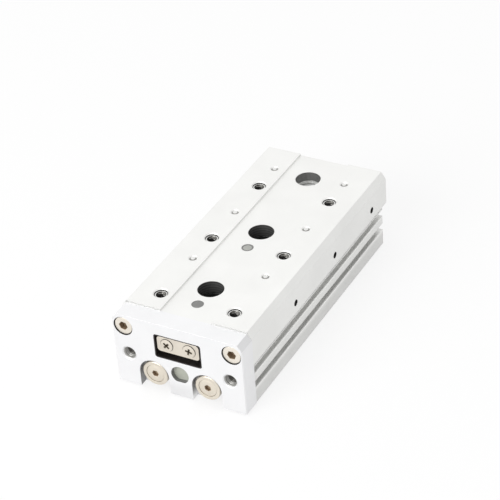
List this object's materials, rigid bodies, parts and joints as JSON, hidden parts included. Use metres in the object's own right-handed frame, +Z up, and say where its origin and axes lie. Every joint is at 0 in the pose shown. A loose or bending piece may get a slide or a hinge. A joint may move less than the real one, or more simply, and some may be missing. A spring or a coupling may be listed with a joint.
{
  "type": "pneumatic slide table",
  "caption": "Compact twin-rod pneumatic slide table: a low table on a crossed-roller guide, driven by two pistons in a flat cylinder body through its front end plate.",
  "frame": {"origin": "middle of the bounding box at rest, on the underside of the body", "axes": "+X across to the side with the sensor grooves, +Y from the end plate to the rear, +Z up from the underside; the table travels along -Y"},
  "size_m": [0.062, 0.1406, 0.0369],
  "materials": {
    "anodised_body": "clear anodised, fine satin",
    "anodised_table": "clear anodised, bead blasted satin",
    "guide_steel": "hardened and ground",
    "hard_chrome": "polished",
    "nickel_plated_steel": "warm nickel plate, satin",
    "black_oxide_steel": "black oxide",
    "stainless_steel": "turned",
    "grey_plastic": "matt",
    "machined_aluminium": "turned",
    "black_rubber": "matt",
    "black_plastic": "matt",
    "grey_urethane": "smooth",
    "magnet": "bonded, dull",
    "cage_plastic": "moulded"
  },
  "bodies": {
    "cylinder_body": {"body": "anodised_body", "guide_rail": "guide_steel", "rail_screws": "black_oxide_steel", "roller_stopper_front": "nickel_plated_steel", "roller_stopper_rear": "nickel_plated_steel", "stopper_screws": "nickel_plated_steel", "head_cap_left": "machined_aluminium", "head_cap_right": "machined_aluminium", "head_cap_o_rings": "black_rubber", "rear_retaining_rings": "black_oxide_steel", "rear_bumpers": "black_rubber", "seal_support_left": "machined_aluminium", "seal_support_right": "machined_aluminium", "rod_seals": "black_rubber", "seal_support_o_rings": "black_rubber", "front_retaining_rings": "black_oxide_steel", "front_bumpers": "black_rubber"},
    "moving_table": {"table": "anodised_table", "side_guide_left": "guide_steel", "side_guide_right": "guide_steel", "guide_screws": "stainless_steel", "guide_stop_screws": "stainless_steel", "preload_screws": "black_oxide_steel", "thread_inserts": "stainless_steel", "locating_plugs": "grey_plastic", "end_plate": "anodised_table", "end_plate_bolts": "nickel_plated_steel", "end_plate_inserts": "stainless_steel", "window_liner": "black_plastic", "end_bumper": "grey_urethane", "floating_bushing_left": "nickel_plated_steel", "floating_bushing_right": "nickel_plated_steel", "rod_end_bolts": "nickel_plated_steel", "piston_rod_left": "hard_chrome", "piston_rod_right": "hard_chrome", "piston_left": "machined_aluminium", "piston_right": "machined_aluminium", "piston_seals": "black_rubber", "piston_magnets": "magnet", "piston_nuts": "stainless_steel"},
    "cage_left": {"roller_cage_left": "cage_plastic", "rollers_left": "hard_chrome"},
    "cage_right": {"roller_cage_right": "cage_plastic", "rollers_right": "hard_chrome"}
  },
  "joints": [
    {"name": "table_slide", "type": "slide", "parent": "cylinder_body", "child": "moving_table", "axis": [0, -1, 0], "range_m": [0, 0.075]},
    {"name": "cage_left_slide", "type": "slide", "parent": "cylinder_body", "child": "cage_left", "axis": [0, -1, 0], "range_m": [0, 0.0375]},
    {"name": "cage_right_slide", "type": "slide", "parent": "cylinder_body", "child": "cage_right", "axis": [0, -1, 0], "range_m": [0, 0.0375]}
  ],
  "couplings": [
    {"joint": "cage_left_slide", "follows": "table_slide", "ratio": 0.5},
    {"joint": "cage_right_slide", "follows": "table_slide", "ratio": 0.5}
  ]
}
